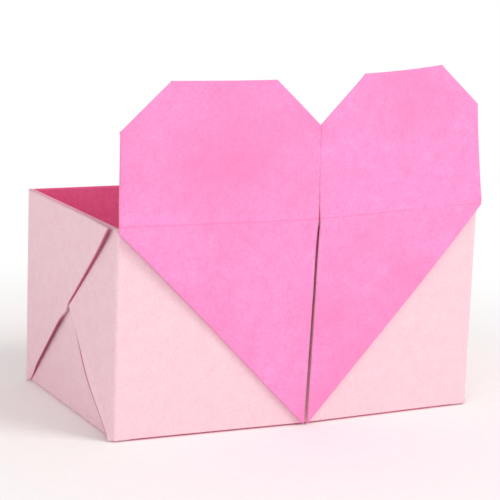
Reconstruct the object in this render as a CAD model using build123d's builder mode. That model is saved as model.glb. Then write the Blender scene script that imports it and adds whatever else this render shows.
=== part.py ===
"""Origami box: a folded sheet with double corner flaps, and a folded heart strip on its front wall.

Lengths are in millimetres. X runs along the front wall, Y runs to the back, Z is up,
and the origin is the centre of the underside.
"""
from math import hypot
from build123d import *
import os

os.makedirs("parts", exist_ok=True)

# Paper
paper = 0.2
air = 0.15
layer_step = paper + air
fold_width = 1.4 * paper

# Box sheet
box_width = 73.0
box_depth = 43.0
wall_height = 38.0
front_bulge = 1.4
front_flap_reach = 38.8
back_flap_reach = 40.4

# Heart strip
wall_clearance = 0.1
strip_width = 37.0
slit_half = 0.15
shoulder_height = 55.0
lobe_height = 64.2
lobe_chamfer = lobe_height - shoulder_height

half_width = box_width / 2
front_y = -box_depth / 2
back_y = box_depth / 2
front_corner_x = -half_width - 2 * layer_step
back_corner_x = -half_width - 4 * layer_step
rest_front_y = front_y + paper + air
rest_back_y = back_y - paper - air


def panel(plane, points, depth):
    """Adds one flat panel: the outline drawn on the plane, pushed out by the depth."""
    with BuildSketch(plane) as outline:
        with BuildLine():
            Polyline(*points, close=True)
        make_face()
    extrude(outline.sketch, amount=depth)


def side_panel(points, layer, layers=1):
    """Adds a panel of the left side, so many layers out from the side wall."""
    plane = Plane.YZ.offset(-half_width - (layer + layers - 1) * layer_step)
    panel(plane, points, (layers - 1) * layer_step + paper)


# The front flap: its fold climbs from the front bottom corner to the rim.
front_flap = [(front_y, 0), (front_y, wall_height), (front_y + front_flap_reach, wall_height)]
front_flap_inner = [(rest_front_y, paper), (rest_front_y, wall_height),
                    (front_y + front_flap_reach, wall_height)]
front_flap_fold = [(front_y + paper, paper), (front_y + front_flap_reach, wall_height),
                   (front_y + front_flap_reach - fold_width, wall_height),
                   (front_y + paper, paper + fold_width)]
# The back flap lies over the front one, its fold climbing from the back bottom corner.
back_flap = [(back_y, 0), (back_y, wall_height), (back_y - back_flap_reach, wall_height)]
back_flap_inner = [(rest_back_y, paper), (rest_back_y, wall_height),
                   (back_y - back_flap_reach, wall_height)]
back_flap_fold = [(back_y - paper, paper), (back_y - back_flap_reach, wall_height),
                  (back_y - back_flap_reach + fold_width, wall_height),
                  (back_y - paper, paper + fold_width)]

with BuildPart() as box_sheet:
    # Bottom, out to the bulged front wall
    panel(Plane.XY, [(0, front_y - front_bulge), (0, back_y), (-half_width, back_y),
                     (-half_width, front_y)], paper)
    # Front and back walls
    panel(Plane.XY, [(0, front_y - front_bulge), (0, front_y - front_bulge + paper),
                     (front_corner_x, front_y + paper), (front_corner_x, front_y)], wall_height)
    panel(Plane.XY, [(0, back_y - paper), (0, back_y), (back_corner_x, back_y),
                     (back_corner_x, back_y - paper)], wall_height)
    # Side wall, turned over at each end into the inner layer of a flap
    side_panel([(rest_front_y, 0), (rest_back_y, 0), (rest_back_y, wall_height),
                (rest_front_y, wall_height)], 0)
    side_panel([(rest_front_y, 0), (rest_front_y + paper, 0), (rest_front_y + paper, wall_height),
                (rest_front_y, wall_height)], 0, 2)
    side_panel([(rest_back_y - paper, 0), (rest_back_y, 0), (rest_back_y, wall_height),
                (rest_back_y - paper, wall_height)], 0, 4)
    # Front flap, two layers joined along its fold
    side_panel(front_flap_inner, 1)
    side_panel(front_flap, 2)
    side_panel(front_flap_fold, 1, 2)
    # Back flap, two layers joined along its fold
    side_panel(back_flap_inner, 3)
    side_panel(back_flap, 4)
    side_panel(back_flap_fold, 3, 2)
    mirror(about=Plane.YZ)

# The strip follows the bulged front wall, so each half has its own upright plane.
span = hypot(-front_corner_x, front_bulge)
run = -front_corner_x / span
rise = front_bulge / span
middle = (0, front_y - front_bulge, 0)


def strip_panel(points, layer, layers=1):
    """Adds a panel of the strip's right half, so many layers out from the front wall."""
    plane = Plane(origin=middle, x_dir=(run, rise, 0), z_dir=(rise, -run, 0))
    start = plane.offset(wall_clearance + layer * layer_step)
    panel(start, points, (layers - 1) * layer_step + paper)


lobe_middle = strip_width / 2
point_drop = shoulder_height + lobe_middle - lobe_height
lobe = [(slit_half, slit_half), (strip_width, strip_width), (strip_width, shoulder_height),
        (strip_width - lobe_chamfer, lobe_height), (lobe_chamfer, lobe_height),
        (slit_half, shoulder_height + slit_half)]
diagonal_fold = [(0, 0), (strip_width, strip_width), (strip_width - fold_width, strip_width),
                 (0, fold_width)]
outer_fold = [(strip_width, shoulder_height), (strip_width - lobe_chamfer, lobe_height),
              (strip_width - lobe_chamfer - fold_width, lobe_height),
              (strip_width - fold_width, shoulder_height)]
inner_fold = [(slit_half, shoulder_height + slit_half), (lobe_chamfer, lobe_height),
              (lobe_chamfer + fold_width, lobe_height),
              (slit_half + fold_width, shoulder_height + slit_half)]
outer_corner = [(strip_width, shoulder_height), (strip_width - lobe_chamfer, lobe_height),
                (lobe_middle + slit_half, lobe_height),
                (lobe_middle + slit_half, shoulder_height)]
inner_corner = [(slit_half, shoulder_height + slit_half), (lobe_chamfer, lobe_height),
                (lobe_middle - slit_half, lobe_height),
                (lobe_middle - slit_half, shoulder_height + slit_half)]
point = [(lobe_chamfer, lobe_height), (lobe_middle, lobe_height - point_drop),
         (strip_width - lobe_chamfer, lobe_height)]
top_fold = [(lobe_chamfer, lobe_height - paper), (strip_width - lobe_chamfer, lobe_height - paper),
            (strip_width - lobe_chamfer, lobe_height), (lobe_chamfer, lobe_height)]

with BuildPart() as heart_strip:
    # The middle of the strip, flat against the front wall behind the two flaps
    strip_panel([(-slit_half, 0), (0, 0), (strip_width, strip_width),
                 (-slit_half, strip_width)], 0)
    strip_panel(diagonal_fold, 0, 2)
    # The arm, turned up beside the slit
    strip_panel(lobe, 1)
    # Corners folded behind the lobe
    strip_panel(outer_fold, 0, 2)
    strip_panel(inner_fold, 0, 2)
    strip_panel(outer_corner, 0)
    strip_panel(inner_corner, 0)
    # The point folded down behind them
    strip_panel(top_fold, -2, 4)
    strip_panel(point, -1)
    strip_panel(point, -2)
    mirror(about=Plane.YZ)

box_sheet.part.label = "box_sheet"
export_step(box_sheet.part, "parts/box_sheet.step")
heart_strip.part.label = "heart_strip"
export_step(heart_strip.part, "parts/heart_strip.step")
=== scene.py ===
# %% [markdown]
# # A folded paper box with a heart on its front
# The box is one sheet, pale outside and hot pink inside. The heart is a strip of the same
# paper turned hot side out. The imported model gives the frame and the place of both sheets.

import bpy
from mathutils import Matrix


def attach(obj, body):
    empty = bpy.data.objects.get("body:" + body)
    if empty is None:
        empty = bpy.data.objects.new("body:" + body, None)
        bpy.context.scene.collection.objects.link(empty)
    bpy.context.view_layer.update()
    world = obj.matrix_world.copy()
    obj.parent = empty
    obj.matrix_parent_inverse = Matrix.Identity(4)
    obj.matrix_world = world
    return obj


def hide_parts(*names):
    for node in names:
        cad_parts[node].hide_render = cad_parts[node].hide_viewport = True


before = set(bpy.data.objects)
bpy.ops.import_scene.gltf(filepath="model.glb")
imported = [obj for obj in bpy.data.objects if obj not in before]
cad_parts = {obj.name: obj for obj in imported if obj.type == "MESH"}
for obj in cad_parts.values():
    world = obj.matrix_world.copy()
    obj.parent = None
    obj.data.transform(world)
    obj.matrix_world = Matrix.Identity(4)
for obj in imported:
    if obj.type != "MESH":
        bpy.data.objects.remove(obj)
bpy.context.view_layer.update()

# %% [markdown]
# Lengths below are in millimetres and turn into metres when a mesh is made. A whole surface
# is one numpy array, with the paper's two directions as its first two axes.

# %% Sizes and helpers
import bmesh
import bpy
import numpy as np
from mathutils import Matrix

MM = 0.001
PAPER = 0.16
STEP = 0.22
FRONT, BACK, WALL = -21.5, 21.5, 38.0
FOOT = 0.28


def smooth(x, low, high):
    """0 below low, 1 above high, and between them three times the square less twice the cube."""
    t = np.clip((x - low) / (high - low), 0, 1)
    return t * t * (3 - 2 * t)


def bump(x, middle, width):
    """A bell: e to minus the square of the distance from the middle, counted in widths."""
    return np.exp(-(((x - middle) / width) ** 2))


def lerp(a, b, t):
    """The point a fraction t of the way from a to b."""
    return a + (b - a) * t


def sheet_mesh(name, grids, shade_depths):
    """One object from several grids of points, joined where their edges meet. The shade depth of
    each point, from 0 to 1, is how deep the painted shade lies on it, in the gaps beside the flaps'
    folds and in the heart's slit."""
    points, faces, start = [], [], 0
    for grid in grids:
        rows, columns = grid.shape[:2]
        index = start + np.arange(rows * columns).reshape(rows, columns)
        corners = (index[:-1, :-1], index[1:, :-1], index[1:, 1:], index[:-1, 1:])
        faces.append(np.stack(corners, -1).reshape(-1, 4))
        points.append(grid.reshape(-1, 3))
        start += rows * columns
    mesh = bpy.data.meshes.new(name)
    mesh.from_pydata((np.concatenate(points) * MM).tolist(), [], np.concatenate(faces).tolist())
    painted_shade = np.concatenate([shade_depth.ravel() for shade_depth in shade_depths]).astype(np.float32)
    mesh.attributes.new("shade_depth", "FLOAT", "POINT").data.foreach_set("value", painted_shade)
    piece = bpy.data.objects.new(name, mesh)
    bpy.context.collection.objects.link(piece)
    return piece


def weld(piece, distance):
    """Joins the vertices that lie nearer than the distance, in millimetres."""
    work = bmesh.new()
    work.from_mesh(piece.data)
    bmesh.ops.remove_doubles(work, verts=work.verts, dist=distance * MM)
    work.to_mesh(piece.data)
    work.free()
    piece.data.polygons.foreach_set("use_smooth", np.ones(len(piece.data.polygons), bool))


print("paper", PAPER, "mm thick,", STEP, "mm from layer to layer")

# %% [markdown]
# ## The walls
# All four walls and the eight flap layers are one long band of the sheet. It is a ruled
# surface: straight lines join a path round the foot of the box to a path round its rim.
# At a corner the foot path waits while the rim path runs out to the flap's tip, turns, and
# comes back, so each flap comes out as a fan about the bottom corner, as it does when
# a square of paper is pinched along its diagonal. A band is used because the wall, the
# flap and the fold between them then bend as one sheet.


# %% The band
def line(start, end, count):
    """Evenly spaced plan points from start to end, the end left out."""
    t = np.arange(count)[:, None] / count
    return lerp(np.array(start, float), np.array(end, float), t)


def half_turn(centre, radius, from_angle, sweep, count):
    """Plan points on an arc about the centre, from an angle through a sweep, in degrees."""
    angle = np.radians(from_angle + sweep * np.arange(count)[:, None] / count)
    return np.array(centre, float) + radius * np.hstack([np.cos(angle), np.sin(angle)])


def side_paths(front_x, back_x):
    """The rim and foot paths of the left side, from the front wall round to the back wall.
    The x of each layer runs straight from its front value to its back value."""
    def x_at(y, layer):
        return lerp(front_x, back_x, (y - FRONT) / (BACK - FRONT)) - layer * STEP

    near, far = FRONT + 0.6, BACK - 0.75
    tip_front, tip_back = FRONT + 38.6, BACK - 41.5
    r = STEP / 2
    rim = np.concatenate([
        line((x_at(FRONT, 2) + 3.0, FRONT + 0.1), (x_at(FRONT, 2) + 0.45, FRONT + 0.1), 8),
        half_turn((x_at(FRONT, 2) + 0.45, FRONT + 0.55), 0.45, -90, -90, 6),
        line((x_at(FRONT, 2), FRONT + 0.55), (x_at(tip_front, 2), tip_front), 48),
        half_turn((x_at(tip_front, 1.5), tip_front), r, 180, -180, 8),
        line((x_at(tip_front, 1), tip_front), (x_at(near, 1), near), 48),
        half_turn((x_at(near, 0.5), near), r, 180, 180, 8),
        line((x_at(near, 0), near), (x_at(far, 0), far), 56),
        half_turn((x_at(far, 1.5), far), 3 * r, 0, 180, 10),
        line((x_at(far, 3), far), (x_at(tip_back, 3), tip_back), 48),
        half_turn((x_at(tip_back, 3.5), tip_back), r, 0, -180, 8),
        line((x_at(tip_back, 4), tip_back), (x_at(BACK, 4), BACK - 0.55), 48),
        half_turn((x_at(BACK, 4) + 0.45, BACK - 0.55), 0.45, 180, -90, 6),
        line((x_at(BACK, 4) + 0.45, BACK - 0.1), (x_at(BACK, 4) + 3.0, BACK - 0.1), 8)])
    foot = rim.copy()
    counts = np.cumsum([8, 6, 48, 8, 48, 8, 56, 10, 48, 8, 48, 6, 8])
    foot[counts[1]:counts[4], 1] = FRONT + 0.55 + 0.004 * (rim[counts[1]:counts[4], 1] - FRONT)
    foot[counts[7]:counts[10], 1] = BACK - 0.55 + 0.004 * (rim[counts[7]:counts[10], 1] - BACK)
    flap = np.zeros((len(rim), 2))
    front_run = slice(counts[1], counts[4])
    back_run = slice(counts[7], counts[10])
    flap[front_run, 0] = np.clip((rim[front_run, 1] - FRONT) / (tip_front - FRONT), 0, 1)
    flap[back_run, 1] = np.clip((BACK - rim[back_run, 1]) / (BACK - tip_back), 0, 1)
    outer = np.arange(len(rim)) < counts[2] + 4
    return rim, foot, flap, outer


HEIGHTS = np.concatenate([[0, 0.004, 0.012], np.linspace(0.03, 0.97, 46), [0.988, 1.0]])


def side_band(front_x, back_x, lift):
    """The left side's surface: foot point plus height times the way to the rim point, with the
    flaps' free folds lifted outward by bells of height along the fold."""
    rim, foot, flap, outer = side_paths(front_x, back_x)
    h = HEIGHTS[:, None]
    plan = lerp(foot[:, None], rim[:, None], h[None])
    z = np.broadcast_to(FOOT + h.T * (WALL - PAPER / 2 - FOOT), plan.shape[:2])
    height = np.broadcast_to(h.T, plan.shape[:2])
    back_lift = 0.42 * smooth(height, 0.01, 0.14) * (1 - 0.9 * bump(height, 0.49, 0.035))
    back_lift = back_lift * (1 - 0.35 * smooth(height, 0.52, 0.6)) + 0.3 * bump(height, 1.0, 0.1)
    front_lift = 0.65 * bump(height, 0.24, 0.15)
    out = smooth(flap[:, 1:2], 0.7, 1.0) * back_lift
    out = out + smooth(flap[:, :1], 0.75, 1.0) * front_lift * np.where(outer, 1.0, 0.8)[:, None]
    bow = 0.25 * np.sin(np.pi * height) * np.sin(np.pi * (plan[..., 1] - FRONT) / (BACK - FRONT))
    x = plan[..., 0] - out * lift - np.clip(bow, 0, None)
    # Painted shade: a dark rose line along each flap's free fold, for the shade in the gap under
    # the lifted edge.
    low = smooth(height, 0.0, 0.04) * (1 - smooth(height, 0.3, 0.47))
    inner = np.where(np.arange(len(rim)) < 244, 0.06, 0.0)[:, None]
    shade_depth = smooth(flap[:, 1:2], 0.98 - inner, 0.996 - inner) * (1 - 0.6 * bump(height, 0.49, 0.04))
    shade_depth = shade_depth + smooth(flap[:, :1], 0.955, 0.985) * low
    return np.stack([x, plan[..., 1], z], -1), np.clip(shade_depth, 0, 1)


left, left_shade_depth = side_band(-36.02, -36.72, 1.0)
right, right_shade_depth = side_band(-35.8, -36.4, 0.7)
right = right * (-1, 1, 1)
print("side bands", left.shape, right.shape)

# %% [markdown]
# The front and back walls close the ring. The front wall swells slightly to a soft crease at
# its middle, where the strip's tip presses, and its foot swells more than its rim.


# %% The front and back walls, and the bottom
def wall_between(start, end, swell_foot, swell_rim, count=90):
    """A wall from one band's end column to another's, swollen towards -Y by a tent of x."""
    t = np.linspace(0, 1, count)[:, None, None]
    surface = lerp(start[None], end[None], t)
    tent = (1 - np.abs(2 * t[..., 0] - 1)) ** 1.15
    swell = tent * lerp(swell_foot, swell_rim, HEIGHTS[None])
    surface[..., 1] -= swell
    surface[..., 1] += 0.12 * np.sin(np.pi * HEIGHTS) * np.sin(2 * np.pi * t[..., 0])
    return surface


front_wall = wall_between(right[0], left[0], 1.15, 0.9)
back_wall = wall_between(left[-1], right[-1], 0.15, 0.3)
foot_front = front_wall[:, 0]
foot_back = back_wall[::-1, 0]
across = smooth(np.linspace(0, 1, 40), 0, 1)[None, :, None]
bottom = lerp(foot_front[:, None], foot_back[:, None], across)
to_ends = 36 * (1 - np.abs(np.linspace(-1, 1, len(foot_front))))[:, None]
to_walls = 43 * np.minimum(across, 1 - across)[..., 0]
edge = np.minimum(to_ends, to_walls)
bottom[..., 2] = lerp(FOOT, PAPER / 2, smooth(edge, 0, 1.0))
plain = [np.zeros(grid.shape[:2]) for grid in (front_wall, back_wall, bottom)]
box_paper = sheet_mesh("box_paper_sheet", [left, right[::-1], front_wall, back_wall, bottom],
                       [left_shade_depth, right_shade_depth[::-1], *plain])
weld(box_paper, 0.004)
print("box sheet faces", len(box_paper.data.polygons))

# %% [markdown]
# ## The heart strip
# The strip starts flat against the wall. Each half turns up through a right angle along a
# diagonal, which makes an arm standing beside the slit, and the arm's corners and point are
# folded behind. A line drawn along the strip goes straight to the diagonal, half turns over
# it and climbs, so the two directions of the grid are the place across the strip and the
# way along it. Half turns keep the layers apart as real folds do.

# %% The strip folded flat
WIDTH, SHOULDER, TOP = 37.0, 55.0, 64.2
CUT = TOP - SHOULDER
ROUND = STEP / 2


def arm_block(low, high, count, ending):
    """Rows of the strip between two places across it. Columns run along the strip. The three
    coordinates are the place along the wall, the depth towards the viewer and the height."""
    q = np.linspace(low, high, count)[:, None]
    ones = np.ones_like(q)
    turn = np.linspace(0, np.pi, 9)[None, 1:-1]
    near = lerp(0.0, q, np.linspace(0, 1, 24)[None] ** 0.9)
    behind = np.stack([near, 0 * near, q + 0 * near], -1)
    over = np.stack([q + ROUND * np.sin(turn) * 0.7, ROUND * (1 - np.cos(turn)) * ones,
                     q - ROUND * np.sin(turn) * 0.7], -1)
    crest = np.minimum(TOP, SHOULDER + np.minimum(q, WIDTH - q))
    climb = lerp(q, crest, np.linspace(0, 1, 64)[None])
    front = np.stack([q + 0 * climb, STEP + 0 * climb, climb], -1)
    if ending == "point":
        bend = turn * ones
        radius = 1.5 * ROUND * 1.33
        top = np.stack([q + 0 * bend, STEP - radius * (1 - np.cos(bend)),
                        crest + radius * np.sin(bend)], -1)
        drop = SHOULDER + np.minimum(q, WIDTH - q) - TOP
        fall = drop * np.linspace(0, 1, 12)[None]
        rest = np.stack([q + 0 * fall, STEP - 2 * radius + 0 * fall, crest - fall], -1)
    else:
        side = 1 if ending == "outer" else -1
        lean = ROUND * np.sin(turn) * 0.7 * ones
        top = np.stack([q + side * lean, STEP - ROUND * (1 - np.cos(turn)) * ones,
                        crest + lean], -1)
        reach = WIDTH / 2 - side * 0.12
        inward = lerp(q, reach + 0 * q, np.linspace(0, 1, 20)[None])
        rest = np.stack([inward, 0 * inward, crest + 0 * inward], -1)
    return np.concatenate([behind, over, front, top, rest], 1)


arm = [arm_block(0.04, CUT, 26, "inner"), arm_block(CUT, WIDTH - CUT, 44, "point"),
       arm_block(WIDTH - CUT, WIDTH, 26, "outer")]
print("arm blocks", [block.shape for block in arm])

# %% [markdown]
# Hand folding puts every corner a little off its ideal place. The table gives, for seven
# points of each half, how far the real fold lies from the ideal one, and a smooth
# interpolation carries the rest of the paper with them.

# %% Hand-made irregularities
NODES = np.array([(0, 0), (0, 38), (0, 55), (9.2, 64.2), (27.8, 64.2), (37, 55), (37, 37)], float)
LEFT_SHIFT = np.array([(-0.17, 0.1, 0.4), (-0.72, 1.0, 0.1), (-0.42, 1.4, 0.1), (-1.03, 1.0, -1.05),
                       (-0.1, 0.3, -1.15), (-0.2, 0.1, -0.5), (-0.07, 0.1, 0.85)])
RIGHT_SHIFT = np.array([(0.81, 0.1, 0.33), (0.98, 1.0, 0.1), (0.4, 1.4, 0.1), (0.16, 1.0, -0.22),
                        (-1.75, 0.3, 1.1), (-2.6, 0.1, 3.1), (-0.9, 0.1, 2.5)])


def warp(places, shifts):
    """Thin-plate interpolation: a plane, plus for each node its weight times the square of the
    distance times the distance's logarithm."""
    def kernel(a, b):
        d = np.linalg.norm(a[:, None] - b[None], axis=-1) + 1e-9
        return d * d * np.log(d)

    def plane(a):
        return np.hstack([np.ones((len(a), 1)), a])

    square = np.block([[kernel(NODES, NODES) + 1e-6 * np.eye(7), plane(NODES)],
                       [plane(NODES).T, np.zeros((3, 3))]])
    weights = np.linalg.solve(square, np.vstack([shifts, np.zeros((3, 3))]))
    return kernel(places, NODES) @ weights[:7] + plane(places) @ weights[7:]


def place_arm(block, side, shifts):
    """Stands a flat arm against the front wall on one side, -1 left or 1 right. Depth grows
    with the warp, with a crease at rim level and a soft curl of the slit edge there."""
    a, depth, z = block[..., 0], block[..., 1], block[..., 2]
    moved = warp(np.stack([a, z], -1).reshape(-1, 2), shifts).reshape(*a.shape, 3)
    crease = 0.8 * np.exp(-np.abs(z - WALL) / 6.0)
    curl = 0.3 * bump(a, 0, 2.2) * bump(z, 35, 7) * (1 if side < 0 else 0.3)
    middle = 0.1 * np.sin(np.pi * a / WIDTH) * np.sin(np.pi * z / 30)
    closing = 0.16 * bump(a, 0, 3) * smooth(z, 37, 43) * (1 - smooth(z, 49, 55))
    a_new = a + moved[..., 0] - closing
    z_new = np.maximum(z + moved[..., 2], PAPER / 2)
    tent = np.clip(1 - np.abs(a_new) / 35.8, 0, 1) ** 1.15
    wall = FRONT - 0.05 - tent * lerp(1.15, 0.9, np.clip(z_new / WALL, 0, 1))
    y = wall - 0.32 - depth - moved[..., 1] - crease * smooth(depth, 0, STEP) + curl + middle
    return np.stack([side * a_new, y, z_new], -1)


left_arm = [place_arm(block, -1, LEFT_SHIFT) for block in arm]
right_arm = [place_arm(block, 1, RIGHT_SHIFT) for block in arm]
# Painted shade on the layer behind the slit, where the narrow gap between the arms lies in shade.
strip_shade_depth = [bump(block[..., 0], 0, 2.5) * (block[..., 1] < STEP / 2) for block in arm]
heart_paper = sheet_mesh("heart_paper_strip", [*[g[::-1] for g in left_arm], *right_arm],
                         [*[b[::-1] for b in strip_shade_depth], *strip_shade_depth])
weld(heart_paper, 0.004)
print("heart strip faces", len(heart_paper.data.polygons))

# %% [markdown]
# ## The paper
# Origami paper is white in its core and printed on both faces. Solidify gives the sheet its
# thickness, and its material offset gives the second face and the raw edge their own
# paper. The print is matt, with a fine mottle of fibres pressed into it.


# %% Paper materials
class Value:
    """A shader socket with arithmetic."""

    def __init__(self, tree, socket):
        self.tree, self.socket = tree, socket

    def node(self, kind, inputs=(), output=0, **settings):
        """Adds a node, sets it up and gives one of its outputs back as a Value."""
        made = self.tree.nodes.new(kind)
        for key, value in settings.items():
            setattr(made, key, value)
        for key, value in dict(inputs).items():
            if isinstance(value, Value):
                self.tree.links.new(value.socket, made.inputs[key])
            else:
                made.inputs[key].default_value = value
        return Value(self.tree, made.outputs[output])

    def math(self, operation, other):
        return self.node("ShaderNodeMath", {0: self, 1: other}, operation=operation)

    def __add__(self, other):
        return self.math("ADD", other)

    def __mul__(self, other):
        return self.math("MULTIPLY", other)

    def __sub__(self, other):
        return self.math("SUBTRACT", other)

    __radd__ = __add__
    __rmul__ = __mul__


def linear(red, green, blue):
    """Linear colour from sRGB values of 0 to 255: the usual power law above its straight foot."""
    s = np.array([red, green, blue]) / 255
    return (*np.where(s <= 0.04045, s / 12.92, ((s + 0.055) / 1.055) ** 2.4), 1.0)


def crease_shade_line(place):
    """1 on the line where the strip was creased at rim level, falling to 0 a fifth of a millimetre
    away; it places painted shade in the crease.
    The line climbs a little to the right of the slit."""
    x = place.node("ShaderNodeSeparateXYZ", {0: place}, output=0)
    z = place.node("ShaderNodeSeparateXYZ", {0: place}, output=2)
    middle = x.math("MAXIMUM", 0.0) * 0.03 + 0.0386
    away = (z - middle).math("ABSOLUTE", 0.0)
    return away.node("ShaderNodeMapRange", {0: away, 1: 0.00004, 2: 0.00024, 3: 1.0, 4: 0.0})


def paper_material(name, dark, light, rough=0.78, grain=0.25, painted_shade=None, drift_and_crease_shade=None):
    """Matt paper that wanders between two close colours, with a fibre bump. Where the shade depth
    is
    1 the colour is the painted shade colour. A tint drifts over it slowly at random, and along the
    crease it deepens as painted shade."""
    material = bpy.data.materials.new(name)
    material.use_nodes = True
    tree = material.node_tree
    shader = tree.nodes["Principled BSDF"]
    place = Value(tree, tree.nodes.new("ShaderNodeTexCoord").outputs["Object"])
    cloud = place.node("ShaderNodeTexNoise", {"Vector": place, "Scale": 420.0, "Detail": 4.0})
    fibre = place.node("ShaderNodeTexNoise", {"Vector": place, "Scale": 2100.0, "Detail": 6.0,
                                              "Roughness": 0.65})
    mix = (cloud - 0.5) * 0.9 + (fibre - 0.5) * 2.2 + 0.5
    clamped = mix.node("ShaderNodeClamp", {"Value": mix})
    colour = place.node("ShaderNodeMix", {0: clamped, 6: dark, 7: light}, output=2,
                        data_type="RGBA")
    if drift_and_crease_shade:
        drift = place.node("ShaderNodeTexNoise", {"Vector": place, "Scale": 38.0, "Detail": 2.0})
        # The tint drifts at random, and the crease line adds painted shade along the rim crease.
        depth = (drift - 0.42) * 1.8 + crease_shade_line(place) * 0.45
        amount = place.node("ShaderNodeClamp", {"Value": depth})
        colour = place.node("ShaderNodeMix", {0: amount, 6: colour, 7: drift_and_crease_shade}, output=2,
                            data_type="RGBA")
    if painted_shade:
        # Painted shade: the shade depth attribute mixes in the dark rose painted shade colour.
        shade_depth = place.node("ShaderNodeAttribute", output=2, attribute_name="shade_depth")
        colour = place.node("ShaderNodeMix", {0: shade_depth, 6: colour, 7: painted_shade}, output=2,
                            data_type="RGBA")
    bumped = place.node("ShaderNodeBump", {"Height": fibre + cloud * 0.6, "Strength": grain,
                                           "Distance": 0.00012})
    tree.links.new(colour.socket, shader.inputs["Base Color"])
    tree.links.new(bumped.socket, shader.inputs["Normal"])
    shader.inputs["Roughness"].default_value = rough
    shader.inputs["Specular IOR Level"].default_value = 0.25
    return material


# The pale print, with a dark rose painted shade for the gaps at the folds and the heart's slit.
PALE = paper_material("pale_pink_paper", linear(238, 198, 209), linear(249, 214, 222),
                      painted_shade=linear(178, 74, 110))
# The hot pink's tint wanders at random, and is painted shade along the rim crease.
HOT = paper_material("hot_pink_paper", linear(245, 136, 194), linear(251, 161, 218),
                     drift_and_crease_shade=linear(246, 122, 172))
# The inside is the same hot pink print as the heart, painted darker and redder as the shade inside
# the box.
HOT_IN_PAINTED_SHADE = paper_material("hot_pink_inside_painted_shade", linear(222, 84, 134), linear(234, 104, 152))
EDGE = paper_material("paper_edge", linear(240, 170, 190), linear(250, 190, 205))


def thicken(piece, faces):
    """Gives the sheet its thickness, one material on each face and a third on the edge."""
    for material in faces:
        piece.data.materials.append(material)
    solid = piece.modifiers.new("thickness", "SOLIDIFY")
    solid.thickness = PAPER * MM
    solid.offset = 0
    solid.material_offset = 1
    solid.material_offset_rim = 2
    return piece


thicken(box_paper, [HOT_IN_PAINTED_SHADE, PALE, EDGE])
thicken(heart_paper, [HOT, PALE, EDGE])
for piece, node, slot in [(box_paper, "box_sheet", "box_paper"),
                          (heart_paper, "heart_strip", "heart_paper")]:
    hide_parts(node)
    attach(piece, "root")

# %% [markdown]
# ## The setting
# The box stands on a white table in soft daylight from the upper right, which leaves the left
# side wall darker and lays a faint warm shadow to the left.

# %% Floor, light and camera
floor_mesh = bpy.data.meshes.new("floor")
floor_mesh.from_pydata([(-3, -3, 0), (3, -3, 0), (3, 5, 0), (-3, 5, 0)], [], [(0, 1, 2, 3)])
floor = bpy.data.objects.new("floor", floor_mesh)
bpy.context.collection.objects.link(floor)
floor.data.materials.append(paper_material("table", linear(251, 247, 246), linear(255, 254, 253),
                                           0.9, 0.1))
tabletop = floor.data.materials[0].node_tree
spot = Value(tabletop, tabletop.nodes.new("ShaderNodeTexCoord").outputs["Object"])
away = spot.node("ShaderNodeVectorMath", {0: spot}, output=1, operation="LENGTH")
far = away.node("ShaderNodeMapRange", {0: away, 1: 0.05, 2: 0.135}, interpolation_type="SMOOTHSTEP")
glow = away.node("ShaderNodeEmission", {"Color": (1, 1, 1, 1), "Strength": 1.0})
matt = Value(tabletop, tabletop.nodes["Principled BSDF"].outputs["BSDF"])
both = away.node("ShaderNodeMixShader", {0: far, 1: matt, 2: glow})
tabletop.links.new(both.socket, tabletop.nodes["Material Output"].inputs["Surface"])


def area_light(name, place, target, size, watts, colour=(1, 1, 1)):
    """A square lamp at a place, in metres, facing the target."""
    lamp = bpy.data.lights.new(name, "AREA")
    lamp.size, lamp.energy, lamp.color = size, watts, colour
    holder = bpy.data.objects.new(name, lamp)
    bpy.context.collection.objects.link(holder)
    back = np.array(place, float) - np.array(target, float)
    back /= np.linalg.norm(back)
    across = np.cross((0, 0, 1), back)
    across /= np.linalg.norm(across)
    up = np.cross(back, across)
    turn = Matrix([*zip(across, up, back)]).to_4x4()
    holder.matrix_world = Matrix.Translation(place) @ turn
    return holder


area_light("window", (0.55, -0.6, 0.75), (0, 0, 0.03), 0.45, 4.5, (1, 0.985, 0.97))
area_light("fill", (-0.7, -0.8, 0.5), (0, 0, 0.03), 0.9, 2.5, (1, 0.97, 0.98))

world = bpy.data.worlds.new("studio")
bpy.context.scene.world = world
world.use_nodes = True
sky = world.node_tree
sky.nodes.clear()
ray = Value(sky, sky.nodes.new("ShaderNodeLightPath").outputs["Is Camera Ray"])
soft = ray.node("ShaderNodeBackground", {"Color": (1, 0.985, 0.98, 1), "Strength": 0.66})
white = ray.node("ShaderNodeBackground", {"Color": (1, 1, 1, 1), "Strength": 1.0})
shown = ray.node("ShaderNodeMixShader", {0: ray, 1: soft, 2: white})
world_out = sky.nodes.new("ShaderNodeOutputWorld")
sky.links.new(shown.socket, world_out.inputs["Surface"])

camera_data = bpy.data.cameras.new("camera")
camera_data.sensor_width = 36
camera_data.lens = 127.73
camera = bpy.data.objects.new("camera", camera_data)
bpy.context.collection.objects.link(camera)
axes = [(0.89691, -0.44069, 0.03679), (0.055, 0.19371, 0.97952), (-0.43879, -0.87651, 0.19798)]
camera.matrix_world = (Matrix.Translation((-0.14917, -0.29705, 0.09525))
                       @ Matrix(axes).transposed().to_4x4())
bpy.context.scene.camera = camera
bpy.context.scene.view_settings.view_transform = "Standard"
print("camera at", tuple(camera.location))
